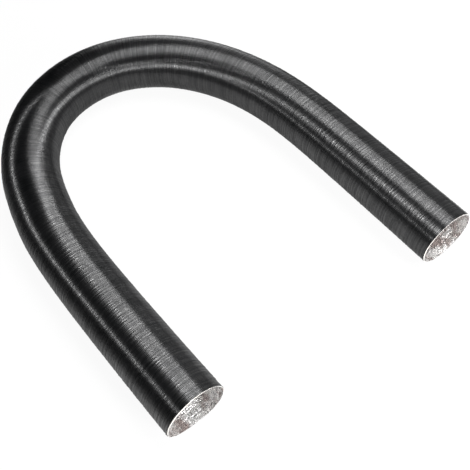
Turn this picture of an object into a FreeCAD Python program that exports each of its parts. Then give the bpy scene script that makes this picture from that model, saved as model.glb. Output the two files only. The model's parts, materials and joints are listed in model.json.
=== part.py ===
import FreeCAD, Part

import math
import os

# A flexible air duct of 60 mm bore, one metre long, lying on a floor in a U.
# Its wall is a laminate of three plies, wound and corrugated together:
# an aluminium foil liner, a kraft paper core and a black film jacket.
# Millimetres. Z is up and the floor is Z = 0. The legs of the U run along Y,
# with both open ends toward -Y, and the origin is under the middle of the box.

# Wall, from the bore outward
bore_diameter = 60.0
foil_thickness = 0.25
paper_thickness = 0.25
film_thickness = 0.2

# Ribs of the jacket, counted over the whole length
rib_count = 200
rib_height = 0.55
rib_crest_length = 1.6
rib_flank_length = 0.9

# The duct's own weight flattens the ribs that it lies on
flat_depth = 0.5

# Corner points of the duct's centreline, chosen by hand, from the near end to the far one
route_points = [
    (-152.0, -205.0),
    (-152.0, -91.0),
    (-148.0, 24.0),
    (-135.0, 83.0),
    (-120.0, 125.0),
    (-96.0, 161.0),
    (-64.0, 189.0),
    (-25.0, 204.0),
    (18.0, 205.0),
    (59.0, 190.0),
    (97.0, 159.0),
    (126.0, 115.0),
    (145.0, 61.0),
    (153.0, -5.0),
    (148.0, -120.0),
    (141.0, -234.0),
]

# Share of the shorter run beside a corner that its arc takes up
arc_share = 0.45

# Radii of the faces between the plies
bore_radius = bore_diameter / 2
foil_radius = bore_radius + foil_thickness
paper_radius = foil_radius + paper_thickness
valley_radius = paper_radius + film_thickness
crest_radius = valley_radius + rib_height
axis_height = crest_radius - flat_depth

up = FreeCAD.Vector(0, 0, 1)


class Line:
    """A straight stretch of the centreline."""

    def __init__(self, start, end):
        self.start = start
        self.end = end
        self.length = (end - start).Length
        self.direction = (end - start) / self.length

    def station(self, distance):
        return self.start + self.direction * distance, self.direction

    def edge(self):
        return Part.LineSegment(self.start, self.end).toShape()


class Bend:
    """An arc of the centreline that is tangent to the runs on both sides of a corner."""

    def __init__(self, corner, direction_in, direction_out, tangent_length):
        turn = math.atan2(direction_in.cross(direction_out).z, direction_in.dot(direction_out))
        self.turn = turn
        self.radius = tangent_length / math.tan(abs(turn) / 2)
        self.start = corner - direction_in * tangent_length
        self.direction_in = direction_in
        self.inward = up.cross(direction_in) * math.copysign(1, turn)
        self.centre = self.start + self.inward * self.radius
        self.length = self.radius * abs(turn)

    def station(self, distance):
        angle = distance / self.radius
        along = self.direction_in * math.sin(angle) - self.inward * math.cos(angle)
        direction = self.direction_in * math.cos(angle) + self.inward * math.sin(angle)
        return self.centre + along * self.radius, direction

    def edge(self):
        middle = self.station(self.length / 2)[0]
        end = self.station(self.length)[0]
        return Part.Arc(self.start, middle, end).toShape()


def centreline():
    """Straight runs joined by tangent arcs, each as large as its two runs allow."""
    points = [FreeCAD.Vector(x, y, axis_height) for x, y in route_points]
    stretches = []
    start = points[0]
    for before, corner, after in zip(points, points[1:], points[2:]):
        run_in = corner - before
        run_out = after - corner
        tangent_length = arc_share * min(run_in.Length, run_out.Length)
        bend = Bend(corner, run_in / run_in.Length, run_out / run_out.Length, tangent_length)
        stretches.append(Line(start, bend.start))
        stretches.append(bend)
        start = bend.station(bend.length)[0]
    stretches.append(Line(start, points[-1]))
    return stretches


def station(stretches, distance):
    """The centreline's point and direction at a distance from the near end."""
    for stretch in stretches[:-1]:
        if distance <= stretch.length:
            return stretch.station(distance)
        distance -= stretch.length
    return stretches[-1].station(distance)


def ring(stretches, distance, radius):
    """A circle square to the centreline, with its X axis pointing up."""
    centre, direction = station(stretches, distance)
    frame = FreeCAD.Placement(centre, FreeCAD.Rotation(up, direction.cross(up) * -1, direction, "XYZ"))
    circle = Part.makeCircle(radius)
    circle.Placement = frame
    return Part.Wire([circle])


def pipe(stretches, radius):
    """A solid rod of one radius along the whole centreline."""
    path = Part.Wire([stretch.edge() for stretch in stretches])
    return path.makePipeShell([ring(stretches, 0, radius)], True, False)


def rib_rings(stretches):
    """The circles of the jacket's outside: four for each rib, and one at each cut end."""
    length = sum(stretch.length for stretch in stretches)
    pitch = length / rib_count
    half_crest = rib_crest_length / 2
    profile = [
        (-half_crest - rib_flank_length, valley_radius),
        (-half_crest, crest_radius),
        (half_crest, crest_radius),
        (half_crest + rib_flank_length, valley_radius),
    ]
    rings = [ring(stretches, 0, valley_radius)]
    for rib in range(rib_count):
        middle = (rib + 0.5) * pitch
        for offset, radius in profile:
            rings.append(ring(stretches, middle + offset, radius))
    rings.append(ring(stretches, length, valley_radius))
    return rings


def floor_cutter():
    """A block with its top on the floor, wider than the duct."""
    reach = 2 * max(abs(value) for point in route_points for value in point)
    block = Part.makeBox(2 * reach, 2 * reach, crest_radius)
    block.translate(FreeCAD.Vector(-reach, -reach, -crest_radius))
    return block


def foil_liner(stretches):
    return pipe(stretches, foil_radius).cut(pipe(stretches, bore_radius))


def paper_core(stretches):
    return pipe(stretches, paper_radius).cut(pipe(stretches, foil_radius))


def outer_jacket(stretches):
    ribbed = Part.makeLoft(rib_rings(stretches), True, True)
    return ribbed.cut(pipe(stretches, paper_radius)).cut(floor_cutter())


def main():
    stretches = centreline()
    length = sum(stretch.length for stretch in stretches)
    print("centreline length %.1f mm" % length)
    for stretch in stretches:
        if isinstance(stretch, Bend):
            print("arc radius %.0f mm, turn %.1f degrees" % (stretch.radius, math.degrees(stretch.turn)))

    plies = {
        "foil_liner": (foil_liner(stretches), bore_radius, foil_radius),
        "paper_core": (paper_core(stretches), foil_radius, paper_radius),
        "outer_jacket": (outer_jacket(stretches), paper_radius, crest_radius),
    }
    os.makedirs("parts", exist_ok=True)
    for name, (shape, inner, outer) in plies.items():
        section = math.pi * (outer**2 - inner**2)
        print(
            "%s: %d solid, valid %s, volume %.0f of %.0f cubic mm for a plain tube"
            % (name, len(shape.Solids), shape.isValid(), shape.Volume, section * length)
        )
        shape.exportStep("parts/%s.step" % name)


main()
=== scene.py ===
"""A flexible air duct of 60 mm bore, one metre long, bent in a U on a white floor.

Everything is in metres, in the CAD model's frame. The three plies of the wall replace
the CAD's own: a glossy black film with fine ribs, a pale paper core that shows at the cut
ends, and a crinkled aluminium foil liner.
"""

import json
import math

import bpy
import numpy as np
from bpy.props import FloatProperty, FloatVectorProperty, IntProperty, PointerProperty
from mathutils import Matrix, Vector


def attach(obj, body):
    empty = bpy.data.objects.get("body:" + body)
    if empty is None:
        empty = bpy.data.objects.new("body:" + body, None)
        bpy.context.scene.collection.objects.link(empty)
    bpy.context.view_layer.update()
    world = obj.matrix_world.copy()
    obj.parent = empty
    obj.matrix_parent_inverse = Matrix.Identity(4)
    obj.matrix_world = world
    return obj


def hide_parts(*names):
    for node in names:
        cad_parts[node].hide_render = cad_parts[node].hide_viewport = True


bl_info = {
    "name": "Flexible air duct",
    "version": (1, 0, 0),
    "blender": (4, 5, 0),
    "location": "View3D > Sidebar > Air duct",
    "description": "Builds a ribbed flexible air duct of foil, paper and film on a white floor",
    "category": "Object",
}

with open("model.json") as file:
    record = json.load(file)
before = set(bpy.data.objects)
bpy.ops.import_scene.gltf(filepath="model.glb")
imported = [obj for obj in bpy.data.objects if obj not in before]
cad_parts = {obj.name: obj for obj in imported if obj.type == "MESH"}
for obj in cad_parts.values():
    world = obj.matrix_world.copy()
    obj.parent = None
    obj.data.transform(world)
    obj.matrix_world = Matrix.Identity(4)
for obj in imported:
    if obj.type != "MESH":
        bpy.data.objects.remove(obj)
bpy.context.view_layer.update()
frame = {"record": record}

MM = 0.001
WHITE = (1.0, 1.0, 1.0)
BODY = "root"

# The duct's route on the floor, in metres, from the near end to the far one
ROUTE = [
    (-0.152, -0.205),
    (-0.152, -0.091),
    (-0.148, 0.024),
    (-0.135, 0.083),
    (-0.120, 0.125),
    (-0.096, 0.161),
    (-0.064, 0.189),
    (-0.025, 0.204),
    (0.018, 0.205),
    (0.059, 0.190),
    (0.097, 0.159),
    (0.126, 0.115),
    (0.145, 0.061),
    (0.153, -0.005),
    (0.148, -0.120),
    (0.141, -0.234),
]

# How finely the route's spline is read
LINE_STEPS = 48

MOUNTS = {mount["name"]: mount for mount in frame["record"]["mounts"]}
BORE_RADIUS = MOUNTS["near_end_bore"]["dims"]["r_mm"] * MM
AXIS_HEIGHT = MOUNTS["near_end_bore"]["pos_m"][2]

# Points around each ply's rings, and how far apart the rings of its plain side are
SEGMENTS = 29
PLAIN_STEP = 5.0 * MM

# How many points are measured against the line at once
BATCH = 4096

# How far to each side of a place the line's bend is taken
BEND_REACH = 20.0 * MM

# How far along the duct an uneven cut pulls the ribs beside it
CUT_REACH = 8.0 * MM

# How much the near end is cut short on its lower outer side, and the angle where it is shortest
NEAR_SLANT = 2.6 * MM
SLANT_AT = math.radians(-70)

# How much the foil and paper stray at the cuts, as a share of the film's wander
LINER_WANDER = 0.4

# One rib of each ribbed ply: shares of its pitch along the duct, and of its depth.
# The film is folded at its valley and shoulders and round on its crest. The foil is folded all over.
FILM_RIB = ((0.0, 0.0), (0.22, 0.66), (0.5, 1.0), (0.78, 0.66))
FILM_CREST = 2
FOIL_RIB = ((0.0, 0.0), (0.24, 1.0), (0.5, 1.0), (0.74, 0.0))

# How far ribs stray in place, width and height, as shares of the pitch, their width and their depth
PLACE_STRAY = 0.07
WIDTH_STRAY = 0.15
WIDTH_LIMITS = (0.6, 1.3)
HEIGHT_STRAY = 0.10
HEIGHT_LIMITS = (0.7, 1.2)

# The lowest and highest that a leaning rib's rings may stand, in shares of the depth
LEVEL_LIMITS = (0.0, 1.2)

# Ribs lean along the duct. This many ribs make a group that leans together, and these shares
# of the depth are how far the groups lean, each rib by itself, and long stretches of ribs
RIB_GROUP = 3.85
GROUP_LEAN = 0.11
OWN_LEAN = 0.06
SLOW_LEAN = 0.04

# The film's crests wander in and out: how much of it neighbours share, how much is a rib's own,
# and the most that both may come to, all in shares of the ripple
SHARED_WANDER = 0.4
OWN_WANDER = 0.8
WANDER_LIMIT = 2.0

# The film in a rib is this many pitches long, so a bend that stretched the duct as much would pull
# the rib flat. At least the second number is left of the square of its depth
RIB_SLACK = 1.30
LEAST_DEPTH_SQUARED = 0.05

# Long low waves that squeezed ribs leave along the duct: their lengths and heights
SWELLS = (
    (7.4 * MM, 0.024 * MM),
    (4.7 * MM, 0.036 * MM),
    (3.5 * MM, 0.036 * MM),
    (2.9 * MM, 0.050 * MM),
    (2.3 * MM, 0.048 * MM),
)

# How many of its lengths a wave's height holds for, and the most that all the waves may come to
SWELL_HOLD = 1.5
SWELL_LIMIT = 0.12 * MM

# The foil's crinkles are small dents and longer folds: their shares, and the most of both together
DENTS = 0.6
FOLDS = 0.7
CRINKLE_LIMIT = 1.6

# The least that is left of each ply's thickness where its ribs are deepest
THINNEST_FILM = 0.02 * MM
THINNEST_FOIL = 0.01 * MM

# How bright the paper's darker fibres are, as a share of its own colour
DARK_FIBRES = 0.8


class DuctWall(bpy.types.PropertyGroup):
    """Sizes of the wall and its ribs."""

    rib_pitch: FloatProperty(
        name="Rib pitch",
        description="Distance from one rib to the next",
        default=1.25 * MM,
        min=0.5 * MM,
        unit="LENGTH",
    )
    crest_radius: FloatProperty(
        name="Crest radius",
        description="Radius over the film's ribs",
        default=31.25 * MM,
        unit="LENGTH",
    )
    rib_depth: FloatProperty(
        name="Rib depth",
        description="Depth of the film's ribs, from crest to valley",
        default=0.42 * MM,
        unit="LENGTH",
    )
    film_inner_radius: FloatProperty(
        name="Film inner radius",
        description="Radius of the plain inner side of the film",
        default=30.67 * MM,
        unit="LENGTH",
    )
    paper_outer_radius: FloatProperty(
        name="Paper outer radius",
        description="Outer radius of the paper core",
        default=30.66 * MM,
        unit="LENGTH",
    )
    foil_outer_radius: FloatProperty(
        name="Foil outer radius",
        description="Radius where the foil meets the paper",
        default=30.53 * MM,
        unit="LENGTH",
    )
    foil_rib_depth: FloatProperty(
        name="Foil rib depth",
        description="Depth of the ribs on the foil's inner side",
        default=0.50 * MM,
        unit="LENGTH",
    )
    ripple: FloatProperty(
        name="Ripple",
        description="How far the film's ribs wander in and out around the duct",
        default=0.12 * MM,
        unit="LENGTH",
    )
    crinkle: FloatProperty(
        name="Crinkle",
        description="Height of the dents and folds in the foil, from low to high",
        default=0.10 * MM,
        unit="LENGTH",
    )
    cut_wander: FloatProperty(
        name="Cut wander",
        description="How far the hand-cut ends stray from square",
        default=0.35 * MM,
        unit="LENGTH",
    )
    liner_lip: FloatProperty(
        name="Liner lip",
        description="How far the foil and paper stand out past the film at each cut",
        default=0.45 * MM,
        unit="LENGTH",
    )
    seed: IntProperty(
        name="Seed",
        description="Starts the random draws of ribs, ripples and crinkles",
        default=7,
    )


class DuctFinish(bpy.types.PropertyGroup):
    """Colours and gloss of the three plies."""

    film_colour: FloatVectorProperty(
        name="Film colour",
        description="Colour of the black film",
        subtype="COLOR",
        default=(0.0020, 0.0022, 0.0024),
        min=0.0,
        max=1.0,
    )
    film_pale_colour: FloatVectorProperty(
        name="Film pale colour",
        description="Colour of the film in its paler patches",
        subtype="COLOR",
        default=(0.0060, 0.0060, 0.0064),
        min=0.0,
        max=1.0,
    )
    film_gloss: FloatProperty(
        name="Film roughness",
        description="Roughness of the film where it is glossiest",
        default=0.34,
        min=0.0,
        max=1.0,
        subtype="FACTOR",
    )
    film_scuff: FloatProperty(
        name="Film scuff roughness",
        description="Roughness of the film where it is dullest",
        default=0.56,
        min=0.0,
        max=1.0,
        subtype="FACTOR",
    )
    film_dull_shine: FloatVectorProperty(
        name="Film dull shine",
        description="Colour of reflections on the ribs that shine least",
        subtype="COLOR",
        default=(0.70, 0.70, 0.71),
        min=0.0,
        max=1.0,
    )
    paper_colour: FloatVectorProperty(
        name="Paper colour",
        description="Colour of the paper core's cut edge",
        subtype="COLOR",
        default=(0.86, 0.83, 0.78),
        min=0.0,
        max=1.0,
    )
    foil_colour: FloatVectorProperty(
        name="Foil colour",
        description="Colour of the aluminium foil",
        subtype="COLOR",
        default=(0.99, 0.98, 0.97),
        min=0.0,
        max=1.0,
    )
    foil_tint: FloatVectorProperty(
        name="Foil tint",
        description="Colour of the foil where the glue shows through",
        subtype="COLOR",
        default=(0.52, 0.45, 0.43),
        min=0.0,
        max=1.0,
    )


class DuctStudio(bpy.types.PropertyGroup):
    """The camera and the light."""

    lens: FloatProperty(
        name="Lens",
        description="Focal length in millimetres on a 36 mm sensor",
        default=50.48,
    )
    camera_height: FloatProperty(
        name="Camera height",
        description="Height of the camera above the floor",
        default=0.58246,
        unit="LENGTH",
    )
    camera_pitch: FloatProperty(
        name="Camera pitch",
        description="How far the camera looks down",
        default=math.radians(56.57),
        subtype="ANGLE",
    )
    camera_heading: FloatProperty(
        name="Camera heading",
        description="Direction that the camera looks in, counterclockwise from +X",
        default=math.radians(53.73),
        subtype="ANGLE",
    )
    camera_roll: FloatProperty(
        name="Camera roll",
        description="How far the camera leans about its line of sight",
        default=math.radians(-5.34),
        subtype="ANGLE",
    )
    left_lamp: FloatProperty(
        name="Left lamp",
        description="Power of the small lamp on the left, in watts",
        default=0.92,
    )
    front_lamp: FloatProperty(
        name="Front lamps",
        description="Power of the row of small lamps in front, in watts for all of them",
        default=6.6,
    )
    panel: FloatProperty(
        name="Overhead panel",
        description="Power of the broad panel overhead, in watts",
        default=24.5,
    )
    side_wall: FloatProperty(
        name="Side wall",
        description="Power of the dim wall on the right, in watts",
        default=4.6,
    )
    back_board: FloatProperty(
        name="Back board",
        description="Power of the low pale board behind the bend, in watts",
        default=0.5,
    )
    right_board: FloatProperty(
        name="Right board",
        description="Power of the low pale board on the right, in watts",
        default=0.08,
    )
    mouth_lamp: FloatProperty(
        name="Mouth lamp",
        description="Power of the lamp that lights the foil in the mouths, in watts",
        default=3.0,
    )
    room: FloatVectorProperty(
        name="Room light",
        description="Colour of the dim room around the floor",
        subtype="COLOR",
        default=(0.013, 0.014, 0.015),
        min=0.0,
        max=1.0,
    )
    floor_colour: FloatVectorProperty(
        name="Floor colour",
        description="Colour of the white floor",
        subtype="COLOR",
        default=(0.85, 0.85, 0.85),
        min=0.0,
        max=1.0,
    )
    floor_shade: FloatProperty(
        name="Floor shade",
        description="Share of the floor's look that the lamps and shadows make",
        default=0.07,
        min=0.0,
        max=1.0,
        subtype="FACTOR",
    )


# The point on the floor below the camera
CAMERA_FOOT = (-0.22475, -0.38395)
SENSOR_WIDTH = 36.0

# The floor's width, and how far it lies below the duct's lowest points
FLOOR_SIZE = 12.0
FLOOR_DROP = 0.1 * MM

# The floor in reflections: distances from the duct's line, and how bright it is there. This is
# painted shadow close to the duct, a painted pool of light a little further out, and painted dark
# beyond it
FLOOR_PAINTED_LIGHT_AND_SHADOW = (
    (0.03, 0.55),
    (0.05, 0.85),
    (0.06, 1.0),
    (0.12, 1.0),
    (0.15, 0.3),
    (0.5, 0.16),
)

# The floor is divided this far from its middle, in steps of this size, to hold that painted
# brightness
PAINTED_LIGHT_REACH = 0.6
PAINTED_LIGHT_STEP = 0.015

# Where the lamps hang, what they point at, and their sizes
LEFT_LAMP = {"at": (-0.520, 0.097, 0.310), "to": (-0.12, 0.03, 0.05), "size": (0.065, 0.065)}
FRONT_LAMP = {"at": (-0.094, -0.826, 0.316), "to": (-0.05, -0.10, 0.05), "size": (0.11, 0.11)}
PANEL = {"at": (0.61, -0.065, 1.20), "to": (0.61, -0.065, 0.0), "size": (1.02, 0.87)}
SIDE_WALL = {"at": (1.60, 0.20, 0.60), "to": (0.0, 0.0, 0.0), "size": (2.40, 1.20)}
BACK_BOARD = {"at": (0.36, 0.36, 0.07), "to": (0.05, 0.10, 0.05), "size": (0.45, 0.14)}
RIGHT_BOARD = {"at": (0.62, -0.05, 0.07), "to": (0.15, -0.05, 0.05), "size": (0.70, 0.13)}
MOUTH_LAMP = {"at": (0.30, -0.75, 0.50), "to": (0.14, -0.23, 0.03), "size": (0.20, 0.20)}

# How far along Y each lamp of the front row hangs from the row's middle
FRONT_ROW = (-0.24, -0.12, 0.0, 0.12, 0.24)


class Centreline:
    """The duct's line, read from a spline, with its direction at any distance along it."""

    def __init__(self, points):
        self.points = points
        steps = np.linalg.norm(np.diff(points, axis=0), axis=1)
        self.distance = np.concatenate([[0.0], np.cumsum(steps)])
        self.length = self.distance[-1]
        along = np.gradient(points, self.distance, axis=0)
        self.along = along / np.linalg.norm(along, axis=1)[:, None]

    def at(self, distance):
        """Points and directions at these distances. Past an end the line runs on straight."""
        inside = np.clip(distance, 0.0, self.length)
        place = np.stack([np.interp(inside, self.distance, axis) for axis in self.points.T], -1)
        along = np.stack([np.interp(inside, self.distance, axis) for axis in self.along.T], -1)
        along /= np.linalg.norm(along, axis=-1, keepdims=True)
        place += along * (distance - inside)[..., None]
        return place, along

    def bend(self, distance):
        """How fast the line turns, in radians per metre, positive to the left."""
        before = self.at(distance - BEND_REACH)[1]
        after = self.at(distance + BEND_REACH)[1]
        turn = before[..., 0] * after[..., 1] - before[..., 1] * after[..., 0]
        return turn / (2 * BEND_REACH)

    def nearest(self, points):
        """Which of the line's own points is nearest to each of these, and how far away it is."""
        place = np.empty(len(points), np.int64)
        away = np.empty(len(points))
        for start in range(0, len(points), BATCH):
            batch = points[start : start + BATCH, None, :2] - self.points[None, :, :2]
            squared = (batch**2).sum(-1)
            place[start : start + BATCH] = squared.argmin(1)
            away[start : start + BATCH] = np.sqrt(squared.min(1))
        return place, away


def duct_line():
    """The centreline, from a NURBS spline with the route's points as its control points."""
    curve = bpy.data.curves.new("duct_route", "CURVE")
    curve.dimensions = "3D"
    spline = curve.splines.new("NURBS")
    spline.points.add(len(ROUTE) - 1)
    for control, (x, y) in zip(spline.points, ROUTE):
        control.co = (x, y, AXIS_HEIGHT, 1.0)
    spline.order_u = 3
    spline.use_endpoint_u = True
    spline.resolution_u = LINE_STEPS
    curve.resolution_u = LINE_STEPS
    holder = bpy.data.objects.new("duct_route", curve)
    bpy.context.scene.collection.objects.link(holder)
    bpy.context.view_layer.update()
    line = bpy.data.meshes.new_from_object(holder)
    points = np.empty(len(line.vertices) * 3)
    line.vertices.foreach_get("co", points)
    bpy.data.objects.remove(holder)
    bpy.data.curves.remove(curve)
    bpy.data.meshes.remove(line)
    return Centreline(points.reshape(-1, 3))


def smooth(values, width):
    """A moving average of each column, over about this many rows."""
    window = np.hanning(2 * width + 1)[1:-1] if width > 1 else np.ones(1)
    window /= window.sum()
    padded = np.pad(values, ((len(window) // 2, len(window) // 2), (0, 0)), mode="reflect")
    return np.stack([np.convolve(column, window, "valid") for column in padded.T], 1)


def ripples(draws, rings, angles, harmonics, width):
    """Soft random waves over a grid of rings and angles, of about unit height."""
    waves = smooth(draws.normal(size=(rings, 2 * len(harmonics))), width)
    waves /= waves.std(axis=0)
    height = np.zeros((rings, len(angles)))
    for place, harmonic in enumerate(harmonics):
        height += waves[:, 2 * place, None] * np.cos(harmonic * angles)
        height += waves[:, 2 * place + 1, None] * np.sin(harmonic * angles)
    return height / math.sqrt(len(harmonics))


def drifting_wave(draws, turn, angles, harmonics, width):
    """A wave whose height comes and goes. Turn is the angle that it has reached at each ring."""
    one, other = (ripples(draws, len(turn), angles, harmonics, width) for part in range(2))
    return one * np.cos(turn) + other * np.sin(turn)


def swell(draws, distance, angles):
    """The long low waves along the duct, added together."""
    height = np.zeros((len(distance), len(angles)))
    rings_per_metre = len(distance) / distance[-1]
    for length, size in SWELLS:
        turn = 2 * math.pi * distance[:, None] / length
        width = round(SWELL_HOLD * length * rings_per_metre)
        height += size * drifting_wave(draws, turn, angles, range(0, 3), width)
    return np.clip(height, -SWELL_LIMIT, SWELL_LIMIT)


def slant(angles):
    """How much shorter the near end is cut on its lower outer side."""
    return NEAR_SLANT * np.maximum(0.0, np.cos(angles - SLANT_AT)) ** 2


def cut_edge(draws, angles, wander):
    """How far a hand-cut end strays along the duct, at each angle around it."""
    stray = np.zeros(len(angles))
    for harmonic in range(1, 7):
        swing, start = draws.normal(), draws.uniform(0, 2 * math.pi)
        stray += swing * np.cos(harmonic * angles + start) / harmonic
    return wander * stray / np.abs(stray).max()


def pulled(line, rings, near, far):
    """Where rings lie at each angle, pulled along by the uneven cuts at both ends."""
    at = rings[:, None]
    return at + np.exp(-at / CUT_REACH) * near + np.exp(-(line.length - at) / CUT_REACH) * far


def plain_rings(line):
    """Where the rings of a ply's plain side lie along the duct."""
    return np.linspace(0, line.length, round(line.length / PLAIN_STEP) + 1)


def ring_angles():
    """The angles of a ring's points, from the duct's left side over its top."""
    return np.linspace(0, 2 * math.pi, SEGMENTS, endpoint=False)


def surface(line, distance, radius, angles):
    """Points of a tube around the line, one row for each ring, kept on the floor."""
    place, along = line.at(distance)
    left = np.stack([-along[..., 1], along[..., 0], np.zeros(along.shape[:-1])], -1)
    up = np.array([0.0, 0.0, 1.0])
    out = np.cos(angles)[:, None] * left + np.sin(angles)[:, None] * up
    points = place + radius[..., None] * out
    points[..., 2] = np.maximum(points[..., 2], 0.0)
    return points


def store(mesh, name, shares):
    """Stores a share from 0 to 1 at each point of a ply's outer side, and a half on the rest."""
    values = np.full(len(mesh.vertices), 0.5, np.float32)
    values[: shares.size] = np.clip(shares, 0.0, 1.0).ravel()
    mesh.attributes.new(name, "FLOAT", "POINT").data.foreach_set("value", values)


def draw_out(mesh, line):
    """Stores the duct's direction at every point, for the film's drawn-out gloss."""
    points = np.empty(3 * len(mesh.vertices), np.float32)
    mesh.vertices.foreach_get("co", points)
    along = line.along[line.nearest(points.reshape(-1, 3))[0]].astype(np.float32)
    mesh.attributes.new("along", "FLOAT_VECTOR", "POINT").data.foreach_set("vector", along.ravel())


def crease(mesh, segments, rings):
    """Marks these rings of a ply's mesh as sharp folds."""
    ends = np.empty(2 * len(mesh.edges), np.int32)
    mesh.edges.foreach_get("vertices", ends)
    first, second = (ends.reshape(-1, 2) // segments).T
    sharp = (first == second) & np.isin(first, rings)
    mesh.attributes.new("sharp_edge", "BOOLEAN", "EDGE").data.foreach_set("value", sharp)


def ply(name, outer, inner, material, creases=()):
    """A closed ply from the points of its outer and inner sides, joined at both cut ends."""
    rings_out, segments, _ = outer.shape
    rings_in = inner.shape[0]
    points = np.concatenate([outer.reshape(-1, 3), inner.reshape(-1, 3)])
    here = np.arange(segments)
    beyond = (here + 1) % segments

    def side(first, rings, flipped):
        """The faces of one side, from its first ring on."""
        row = first + np.arange(rings - 1)[:, None] * segments
        corners = [row + here, row + beyond, row + segments + beyond, row + segments + here]
        return np.stack(corners[::-1] if flipped else corners, -1).reshape(-1, 4)

    def cap(ring_out, ring_in, flipped):
        """The faces of a cut end, between its outer and inner rings."""
        corners = [ring_out + here, ring_in + here, ring_in + beyond, ring_out + beyond]
        return np.stack(corners[::-1] if flipped else corners, -1)

    first_in = rings_out * segments
    last_out = first_in - segments
    last_in = first_in + (rings_in - 1) * segments
    sides = [side(0, rings_out, flipped=True), side(first_in, rings_in, flipped=False)]
    caps = [cap(0, first_in, flipped=True), cap(last_out, last_in, flipped=False)]
    faces = np.concatenate(sides + caps)

    mesh = bpy.data.meshes.new(name)
    mesh.vertices.add(len(points))
    mesh.vertices.foreach_set("co", points.ravel())
    mesh.loops.add(faces.size)
    mesh.loops.foreach_set("vertex_index", faces.ravel())
    mesh.polygons.add(len(faces))
    mesh.polygons.foreach_set("loop_start", np.arange(0, faces.size, 4))
    is_smooth = np.ones(len(faces), bool)
    is_smooth[-2 * segments :] = False
    mesh.polygons.foreach_set("use_smooth", is_smooth)
    mesh.update(calc_edges=True)
    mesh.validate()
    crease(mesh, segments, creases)
    mesh.materials.append(material)
    piece = bpy.data.objects.new(name, mesh)
    bpy.context.scene.collection.objects.link(piece)
    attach(piece, BODY)
    return piece


class Shader:
    """The nodes of a material or a world, and short ways to add to them."""

    def __init__(self, owner, output="OutputMaterial"):
        self.owner = owner
        owner.use_nodes = True
        self.tree = owner.node_tree
        self.tree.nodes.clear()
        self.output = self.node(output)

    def node(self, kind, values=None, **settings):
        """A new node of this kind, with its settings and the values of its inputs."""
        made = self.tree.nodes.new("ShaderNode" + kind)
        for key, value in settings.items():
            setattr(made, key, value)
        for key, value in (values or {}).items():
            made.inputs[key].default_value = value
        return made

    def link(self, source, target):
        """Leads one node's output to another's input."""
        self.tree.links.new(source, target)

    def show(self, look):
        """Leads a finished look to the output."""
        self.link(look, self.output.inputs["Surface"])

    def principled(self, values):
        """The shader that the whole piece shows, with the values of its inputs."""
        shader = self.node("BsdfPrincipled", values)
        self.show(shader.outputs["BSDF"])
        return shader

    def stored(self, name, output="Fac"):
        """What the mesh stores under this name."""
        return self.node("Attribute", attribute_name=name).outputs[output]

    def noise(self, scale, detail, roughness=0.5):
        """Noise in the object's own metres, with scale as features in each metre."""
        noise = self.node("TexNoise", {"Scale": scale, "Detail": detail, "Roughness": roughness})
        self.link(self.node("TexCoord").outputs["Object"], noise.inputs["Vector"])
        return noise.outputs["Fac"]

    def combine(self, operation, first, second):
        """One number from two, such as their sum."""
        combined = self.node("Math", operation=operation)
        self.link(first, combined.inputs[0])
        self.link(second, combined.inputs[1])
        return combined.outputs["Value"]

    def spread(self, source, between, onto):
        """A number taken from one range onto another, and held inside it."""
        low, high = between
        to_low, to_high = onto
        values = {"From Min": low, "From Max": high, "To Min": to_low, "To Max": to_high}
        ranged = self.node("MapRange", values, clamp=True)
        self.link(source, ranged.inputs["Value"])
        return ranged.outputs["Result"]

    def mix(self, factor, first, second):
        """Two colours mixed by a texture."""
        mixed = self.node("Mix", data_type="RGBA")
        mixed.inputs["A"].default_value = (*first, 1.0)
        mixed.inputs["B"].default_value = (*second, 1.0)
        self.link(factor, mixed.inputs["Factor"])
        return mixed.outputs["Result"]

    def dim(self, colour, share):
        """A colour multiplied by a share."""
        dimmed = self.node("Mix", {"Factor": 1.0}, data_type="RGBA", blend_type="MULTIPLY")
        self.link(colour, dimmed.inputs["A"])
        self.link(share, dimmed.inputs["B"])
        return dimmed.outputs["Result"]

    def blend(self, share, first, second):
        """Two looks blended. The share of the second is a number or a node's output."""
        blended = self.node("MixShader")
        if isinstance(share, float):
            blended.inputs["Fac"].default_value = share
        else:
            self.link(share, blended.inputs["Fac"])
        self.link(first, blended.inputs[1])
        self.link(second, blended.inputs[2])
        return blended.outputs["Shader"]

    def bump(self, height, shader, strength, distance):
        """Fine relief on a shader's surface."""
        bump = self.node("Bump", {"Strength": strength, "Distance": distance})
        self.link(height, bump.inputs["Height"])
        self.link(bump.outputs["Normal"], shader.inputs["Normal"])


def film_material(finish):
    """Glossy black film, its gloss drawn out along the duct, lower in patches and where waves sink.

    Some ribs shine less than their neighbours.
    """
    film = Shader(bpy.data.materials.new("black_film"))
    shader = film.principled({"IOR": 1.9, "Anisotropic": 1.0})
    film.link(film.stored("along", "Vector"), shader.inputs["Tangent"])
    patches = film.noise(scale=55.0, detail=4.0, roughness=0.6)
    pale = film.spread(patches, (0.35, 0.70), (0.0, 1.0))
    colour = film.mix(pale, finish.film_colour, finish.film_pale_colour)
    film.link(colour, shader.inputs["Base Color"])
    clean = film.combine("ADD", film.stored("proud"), patches)
    roughness = film.spread(clean, (0.55, 1.45), (finish.film_scuff, finish.film_gloss))
    film.link(roughness, shader.inputs["Roughness"])
    tint = film.mix(film.stored("shine"), finish.film_dull_shine, WHITE)
    film.link(tint, shader.inputs["Specular Tint"])
    grain = film.noise(scale=1800.0, detail=2.0)
    film.bump(grain, shader, strength=0.25, distance=0.02 * MM)
    return film.owner


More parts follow.
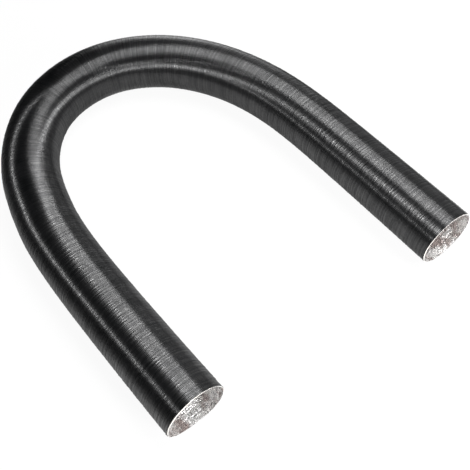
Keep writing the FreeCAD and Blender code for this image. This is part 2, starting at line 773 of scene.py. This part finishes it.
def paper_material(finish):
    """Pale kraft paper with short fibres."""
    paper = Shader(bpy.data.materials.new("kraft_paper"))
    shader = paper.principled({"Roughness": 0.9, "IOR": 1.45})
    fibres = paper.noise(scale=1400.0, detail=5.0, roughness=0.7)
    pale = paper.spread(fibres, (0.35, 0.65), (0.0, 1.0))
    darker = tuple(DARK_FIBRES * value for value in finish.paper_colour)
    colour = paper.mix(pale, darker, finish.paper_colour)
    paper.link(colour, shader.inputs["Base Color"])
    paper.bump(fibres, shader, strength=0.3, distance=0.05 * MM)
    return paper.owner


def foil_material(finish):
    """Bright, finely crinkled foil, with painted shade in the hollows of its crinkles and patches
    where glue shows.
    """
    foil = Shader(bpy.data.materials.new("aluminium_foil"))
    shader = foil.principled({"Metallic": 0.75})
    patches = foil.noise(scale=50.0, detail=3.0, roughness=0.6)
    glued = foil.spread(patches, (0.47, 0.59), (0.0, 1.0))
    colour = foil.mix(glued, finish.foil_colour, finish.foil_tint)
    grain = foil.noise(scale=680.0, detail=2.0, roughness=0.6)
    # Painted shade: the colour is darker where the crinkles' bump is lowest
    painted_crease_shade = foil.spread(grain, (0.36, 0.50), (0.28, 1.0))
    foil.link(foil.dim(colour, painted_crease_shade), shader.inputs["Base Color"])
    roughness = foil.spread(grain, (0.3, 0.7), (0.50, 0.22))
    foil.link(roughness, shader.inputs["Roughness"])
    foil.bump(grain, shader, strength=1.0, distance=0.7 * MM)
    return foil.owner


def floor_material(studio):
    """White to the camera with a light shadow, and in reflections as bright as the mesh stores,
    which is painted shadow near the duct and a painted pool of light around it.
    """
    floor = Shader(bpy.data.materials.new("white_floor"))
    rays = floor.node("LightPath").outputs
    lit = floor.node("BsdfDiffuse", {"Color": (*studio.floor_colour, 1.0)}).outputs["BSDF"]

    # Painted shadow and light: the floor's glow in reflections, dim close to the duct, bright a
    # little further out, dim again far off
    painted_light_and_shadow = floor.node("Emission", {"Color": (*WHITE, 1.0)})
    floor.link(floor.stored("painted_light_and_shadow"), painted_light_and_shadow.inputs["Strength"])
    mirrored = floor.combine("MAXIMUM", rays["Is Glossy Ray"], rays["Is Transmission Ray"])
    unseen = floor.blend(mirrored, lit, painted_light_and_shadow.outputs["Emission"])

    white = floor.node("Emission", {"Color": (*WHITE, 1.0), "Strength": 1.0})
    seen = floor.blend(1.0 - studio.floor_shade, lit, white.outputs["Emission"])
    floor.show(floor.blend(rays["Is Camera Ray"], unseen, seen))
    return floor.owner


def add_floor(studio):
    """A flat floor under the duct, which stores the painted shadow and light that it shows in
    reflections.
    """
    half = FLOOR_SIZE / 2
    steps = round(2 * PAINTED_LIGHT_REACH / PAINTED_LIGHT_STEP) + 1
    ticks = np.concatenate([[-half], np.linspace(-PAINTED_LIGHT_REACH, PAINTED_LIGHT_REACH, steps), [half]])
    x, y = np.meshgrid(ticks, ticks)
    points = np.stack([x.ravel(), y.ravel(), np.full(x.size, -FLOOR_DROP)], -1)
    count = len(ticks)
    first = (np.arange(count - 1)[:, None] * count + np.arange(count - 1)).ravel()
    faces = np.stack([first, first + 1, first + count + 1, first + count], -1)
    mesh = bpy.data.meshes.new("floor")
    mesh.from_pydata(points.tolist(), [], faces.tolist())
    away = duct_line().nearest(points)[1]
    # Painted shadow and light: darker close to the duct, a bright pool a little further out, dim
    # beyond
    painted_light_and_shadow = np.interp(away, *zip(*FLOOR_PAINTED_LIGHT_AND_SHADOW)).astype(np.float32)
    mesh.attributes.new("painted_light_and_shadow", "FLOAT", "POINT").data.foreach_set("value", painted_light_and_shadow)
    mesh.materials.append(floor_material(studio))
    floor = bpy.data.objects.new("floor", mesh)
    bpy.context.scene.collection.objects.link(floor)


def add_lamp(name, place, power):
    """An area lamp at a place, turned towards what it lights."""
    light = bpy.data.lights.new(name, "AREA")
    light.shape = "RECTANGLE"
    light.size, light.size_y = place["size"]
    light.energy = power
    lamp = bpy.data.objects.new(name, light)
    lamp.location = place["at"]
    aim = Vector(place["to"]) - Vector(place["at"])
    lamp.rotation_euler = aim.to_track_quat("-Z", "Y").to_euler()
    lamp.visible_camera = False
    bpy.context.scene.collection.objects.link(lamp)


def add_camera(studio):
    """The photograph's view, 470 by 470, with the camera leaning a little to one side."""
    data = bpy.data.cameras.new("camera")
    data.sensor_width = SENSOR_WIDTH
    data.lens = studio.lens
    data.clip_start = 0.01
    data.clip_end = 50.0
    pitch, heading, roll = studio.camera_pitch, studio.camera_heading, studio.camera_roll
    ahead = Vector((math.cos(heading), math.sin(heading), 0.0))
    level_right = Vector((math.sin(heading), -math.cos(heading), 0.0))
    forward = ahead * math.cos(pitch) - Vector((0.0, 0.0, math.sin(pitch)))
    level_up = level_right.cross(forward)
    right = level_right * math.cos(roll) + level_up * math.sin(roll)
    up = level_up * math.cos(roll) - level_right * math.sin(roll)
    turn = Matrix((right, up, -forward)).transposed()
    camera = bpy.data.objects.new("camera", data)
    camera.matrix_world = Matrix.Translation((*CAMERA_FOOT, studio.camera_height)) @ turn.to_4x4()
    bpy.context.scene.collection.objects.link(camera)
    bpy.context.scene.camera = camera


def add_room(studio):
    """A dim room that lights the duct softly, and is white where the camera looks past the floor."""
    room = Shader(bpy.data.worlds.new("room"), "OutputWorld")
    dim = room.node("Background", {"Color": (*studio.room, 1.0)}).outputs["Background"]
    white = room.node("Background", {"Color": (*WHITE, 1.0)}).outputs["Background"]
    rays = room.node("LightPath").outputs
    room.show(room.blend(rays["Is Camera Ray"], dim, white))
    bpy.context.scene.world = room.owner


class AIRDUCT_OT_stage(bpy.types.Operator):
    """Adds the camera, the white floor, the lamps and the room."""

    bl_idname = "airduct.stage"
    bl_label = "Stage"

    def execute(self, context):
        studio = context.scene.duct_studio
        add_camera(studio)
        add_floor(studio)
        add_lamp("left_lamp", LEFT_LAMP, studio.left_lamp)
        for number, step in enumerate(FRONT_ROW):
            x, y, z = FRONT_LAMP["at"]
            place = {**FRONT_LAMP, "at": (x, y + step, z)}
            add_lamp("front_lamp_%d" % number, place, studio.front_lamp / len(FRONT_ROW))
        add_lamp("overhead_panel", PANEL, studio.panel)
        add_lamp("side_wall", SIDE_WALL, studio.side_wall)
        add_lamp("back_board", BACK_BOARD, studio.back_board)
        add_lamp("right_board", RIGHT_BOARD, studio.right_board)
        add_lamp("mouth_lamp", MOUTH_LAMP, studio.mouth_lamp)
        add_room(studio)
        context.scene.view_settings.view_transform = "Standard"
        return {"FINISHED"}


def rib_rings(line, wall, draws, profile, angles, unevenness):
    """Where a ribbed ply's rings lie, how high they stand as shares of the depth, and how many ribs.

    Each rib strays a little in place, width and height, and ribs lean in loose groups.
    """
    ribs = round(line.length / wall.rib_pitch)
    starts = np.linspace(0, line.length, ribs + 1)
    starts[1:-1] += PLACE_STRAY * wall.rib_pitch * draws.normal(size=ribs - 1)
    share, height = np.array(profile).T
    width = np.clip(1 + WIDTH_STRAY * draws.normal(size=ribs), *WIDTH_LIMITS)
    away = (share - 0.5)[None, :] * width[:, None]
    away[:, 0] = -0.5
    distance = starts[:-1, None] + (0.5 + away) * np.diff(starts)[:, None]

    turn = 2 * math.pi * np.arange(ribs)[:, None] / RIB_GROUP
    grouped = drifting_wave(draws, turn, angles, harmonics=range(0, 4), width=9)
    own = ripples(draws, ribs, angles, harmonics=range(0, 5), width=0)
    slow = ripples(draws, ribs, angles, harmonics=range(0, 3), width=6)
    lean = unevenness * (GROUP_LEAN * grouped + OWN_LEAN * own + SLOW_LEAN * slow)
    tall = ripples(draws, ribs, angles, harmonics=range(0, 3), width=0)
    stand = np.clip(1 + HEIGHT_STRAY * unevenness * tall, *HEIGHT_LIMITS)

    # A lean lifts the rings on one side of a rib and lowers those on the other, but not its valley
    leaning = np.sign(share - 0.5) * (height > 0)
    level = height[None, :, None] * stand[:, None, :]
    level = level + leaning[None, :, None] * lean[:, None, :]
    level = np.clip(level, *LEVEL_LIMITS).reshape(-1, len(angles))
    last_valley = np.zeros((1, len(angles)))
    return np.append(distance.ravel(), line.length), np.append(level, last_valley, 0), ribs


class AIRDUCT_OT_film(bpy.types.Operator):
    """Builds the ribbed black film, the duct's outer ply."""

    bl_idname = "airduct.film"
    bl_label = "Film jacket"

    def execute(self, context):
        wall, finish = context.scene.duct_wall, context.scene.duct_finish
        draws = np.random.default_rng(wall.seed)
        line = duct_line()
        angles = ring_angles()
        distance, level, ribs = rib_rings(line, wall, draws, FILM_RIB, angles, unevenness=1.0)
        rings_per_rib = len(FILM_RIB)

        # The ribs' crests wander in and out around the duct
        shared = ripples(draws, ribs, angles, harmonics=range(2, 5), width=5)
        own = ripples(draws, ribs, angles, harmonics=range(3, 8), width=0)
        wander = np.clip(SHARED_WANDER * shared + OWN_WANDER * own, -WANDER_LIMIT, WANDER_LIMIT)
        wander = np.repeat(wall.ripple * wander, rings_per_rib, axis=0)
        wander = np.concatenate([wander, wander[-1:]])

        # Ribs on the outside of the bend are pulled open, which leaves them less deep
        stretch = 1 - line.bend(distance)[:, None] * wall.crest_radius * np.cos(angles)
        depth_squared = (RIB_SLACK**2 - stretch**2) / (RIB_SLACK**2 - 1)
        depth = np.sqrt(np.clip(depth_squared, LEAST_DEPTH_SQUARED, 1.0))
        depth = (wall.rib_depth + wander) * depth
        middle = wall.crest_radius - 0.5 * wall.rib_depth - SWELL_LIMIT
        waves = swell(draws, distance, angles)
        radius = middle + depth * (level - 0.5) + waves
        radius = np.maximum(radius, wall.film_inner_radius + THINNEST_FILM)

        near = cut_edge(draws, angles, wall.cut_wander) + slant(angles)
        far = cut_edge(draws, angles, wall.cut_wander)
        outer = surface(line, pulled(line, distance, near, far), radius, angles)
        plain = pulled(line, plain_rings(line), near, far)
        inner = surface(line, plain, np.full(plain.shape, wall.film_inner_radius), angles)
        ring = np.arange(len(distance))
        folded = ring[ring % rings_per_rib != FILM_CREST]
        film = ply("outer_jacket_film", outer, inner, film_material(finish), folded)
        draw_out(film.data, line)
        store(film.data, "proud", 0.5 + 0.5 * waves / SWELL_LIMIT)

        # Some ribs shine more than their neighbours, part of the way round
        shine = 0.5 + 0.5 * ripples(draws, ribs, angles, harmonics=range(0, 4), width=0)
        store(film.data, "shine", np.repeat(shine, rings_per_rib, axis=0))
        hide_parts("outer_jacket")
        return {"FINISHED"}


def liner_rings(line, wall, angles, rings):
    """Where the liner's rings lie at each angle. It stands out past the film at both cut ends."""
    draws = np.random.default_rng(wall.seed + 1)
    near = cut_edge(draws, angles, LINER_WANDER * wall.cut_wander) + slant(angles) - wall.liner_lip
    far = cut_edge(draws, angles, LINER_WANDER * wall.cut_wander) + wall.liner_lip
    return pulled(line, rings, near, far)


class AIRDUCT_OT_paper(bpy.types.Operator):
    """Builds the paper core, which shows as a pale edge at the cut ends."""

    bl_idname = "airduct.paper"
    bl_label = "Paper core"

    def execute(self, context):
        wall, finish = context.scene.duct_wall, context.scene.duct_finish
        line = duct_line()
        angles = ring_angles()
        distance = liner_rings(line, wall, angles, plain_rings(line))
        outer_radius = np.full(distance.shape, wall.paper_outer_radius)
        inner_radius = np.full(distance.shape, wall.foil_outer_radius)
        outer = surface(line, distance, outer_radius, angles)
        inner = surface(line, distance, inner_radius, angles)
        core = ply("paper_core_ply", outer, inner, paper_material(finish))
        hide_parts("paper_core")
        return {"FINISHED"}


class AIRDUCT_OT_foil(bpy.types.Operator):
    """Builds the crinkled foil liner, which shows inside both mouths."""

    bl_idname = "airduct.foil"
    bl_label = "Foil liner"

    def execute(self, context):
        wall, finish = context.scene.duct_wall, context.scene.duct_finish
        draws = np.random.default_rng(wall.seed + 2)
        line = duct_line()
        angles = ring_angles()
        rings, level, _ = rib_rings(line, wall, draws, FOIL_RIB, angles, unevenness=0.5)
        dents = ripples(draws, len(rings), angles, harmonics=range(4, 14), width=2)
        folds = ripples(draws, len(rings), angles, harmonics=range(2, 7), width=20)
        crinkles = np.clip(DENTS * dents + FOLDS * folds, -CRINKLE_LIMIT, CRINKLE_LIMIT)
        radius = BORE_RADIUS + wall.foil_rib_depth * level + 0.5 * wall.crinkle * crinkles
        radius = np.minimum(radius, wall.foil_outer_radius - THINNEST_FOIL)
        inner = surface(line, liner_rings(line, wall, angles, rings), radius, angles)
        plain = liner_rings(line, wall, angles, plain_rings(line))
        outer = surface(line, plain, np.full(plain.shape, wall.foil_outer_radius), angles)
        folded = len(plain) + np.arange(len(rings))
        liner = ply("foil_liner_ply", outer, inner, foil_material(finish), folded)
        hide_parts("foil_liner")
        return {"FINISHED"}


def declare_hose():
    """Reads where the duct's line starts and which way it runs there, and does nothing more with
    them.
    """
    line = duct_line()
    start, along = line.at(np.array(0.0))


class AIRDUCT_PT_panel(bpy.types.Panel):
    """Lists the duct's pieces and settings in the sidebar."""

    bl_idname = "AIRDUCT_PT_panel"
    bl_label = "Air duct"
    bl_space_type = "VIEW_3D"
    bl_region_type = "UI"
    bl_category = "Air duct"

    def draw(self, context):
        layout = self.layout
        for operator in OPERATORS:
            layout.operator(operator.bl_idname)
        for group in SETTINGS:
            settings = getattr(context.scene, group)
            for name in settings.__annotations__:
                layout.prop(settings, name)


OPERATORS = (AIRDUCT_OT_stage, AIRDUCT_OT_film, AIRDUCT_OT_paper, AIRDUCT_OT_foil)
SETTINGS = {"duct_wall": DuctWall, "duct_finish": DuctFinish, "duct_studio": DuctStudio}
CLASSES = (*SETTINGS.values(), *OPERATORS, AIRDUCT_PT_panel)


def register():
    for made in CLASSES:
        bpy.utils.register_class(made)
    for name, group in SETTINGS.items():
        setattr(bpy.types.Scene, name, PointerProperty(type=group))


def unregister():
    for name in SETTINGS:
        delattr(bpy.types.Scene, name)
    for made in reversed(CLASSES):
        bpy.utils.unregister_class(made)


def main():
    """Builds the duct on its stage."""
    register()
    bpy.ops.airduct.stage()
    bpy.ops.airduct.film()
    bpy.ops.airduct.paper()
    bpy.ops.airduct.foil()
    declare_hose()


if __name__ == "__main__":
    main()
